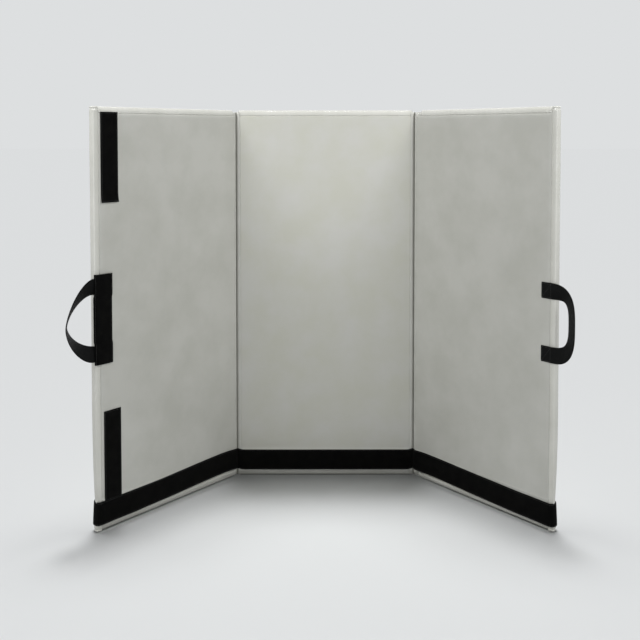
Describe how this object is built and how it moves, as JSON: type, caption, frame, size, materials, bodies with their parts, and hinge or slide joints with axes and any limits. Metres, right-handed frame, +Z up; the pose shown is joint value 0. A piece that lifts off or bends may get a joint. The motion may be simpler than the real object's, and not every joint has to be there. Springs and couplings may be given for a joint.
{
  "type": "bouldering crash pad",
  "caption": "Thin folding crash pad with side wings, fastening tape along its foot and a webbing carry handle at each outer edge.",
  "frame": {"origin": "middle of the centre panel's foot, on the floor", "axes": "+X to the right across the centre panel, -Y towards the person facing the pad's front, +Z up"},
  "size_m": [1.1783, 0.4716, 1],
  "materials": {
    "grey_cloth": "coated cloth, semi-gloss",
    "black_tape": "looped pile, matt",
    "black_webbing": "woven, satin",
    "firm_foam": "closed-cell foam, matt",
    "soft_foam": "open-cell foam, matt"
  },
  "bodies": {
    "centre_panel": {"centre_front_sheet": "grey_cloth", "centre_back_sheet": "grey_cloth", "centre_edge_band": "grey_cloth", "centre_firm_foam": "firm_foam", "centre_soft_foam": "soft_foam", "centre_foot_tape": "black_tape", "left_fold_web": "grey_cloth", "left_fold_tape": "black_tape", "right_fold_web": "grey_cloth", "right_fold_tape": "black_tape"},
    "left_wing": {"left_front_sheet": "grey_cloth", "left_back_sheet": "grey_cloth", "left_edge_band": "grey_cloth", "left_side_band": "grey_cloth", "left_firm_foam": "firm_foam", "left_soft_foam": "soft_foam", "left_foot_tape": "black_tape", "left_top_patch": "black_tape", "left_middle_patch": "black_tape", "left_lower_patch": "black_tape", "left_handle_upper_root": "black_webbing", "left_handle_lower_root": "black_webbing"},
    "right_wing": {"right_front_sheet": "grey_cloth", "right_back_sheet": "grey_cloth", "right_edge_band": "grey_cloth", "right_side_band": "grey_cloth", "right_firm_foam": "firm_foam", "right_soft_foam": "soft_foam", "right_foot_tape": "black_tape", "right_handle_upper_root": "black_webbing", "right_handle_lower_root": "black_webbing"},
    "left_handle": {"left_handle_loop": "black_webbing"},
    "right_handle": {"right_handle_loop": "black_webbing"}
  },
  "joints": [
    {"name": "left_fold", "type": "hinge", "parent": "centre_panel", "child": "left_wing", "pos_m": [-0.23875, -0.0156, 0.5], "axis": [0, 0, 1], "range_deg": [-51.5, 128.5], "deforming": ["left_fold_web", "left_fold_tape", "left_handle_loop"]},
    {"name": "right_fold", "type": "hinge", "parent": "centre_panel", "child": "right_wing", "pos_m": [0.23151, -0.0306, 0.5], "axis": [0, 0, -1], "range_deg": [-51.5, 128.5], "deforming": ["right_fold_web", "right_fold_tape", "right_handle_loop"]},
    {"name": "left_handle_swing", "type": "hinge", "parent": "left_wing", "child": "left_handle", "pos_m": [-0.53736, -0.3795, 0.502], "axis": [0, 0, 1], "range_deg": [-90, 90]},
    {"name": "right_handle_swing", "type": "hinge", "parent": "right_wing", "child": "right_handle", "pos_m": [0.52791, -0.37688, 0.495], "axis": [0, 0, -1], "range_deg": [-50, 90]}
  ]
}
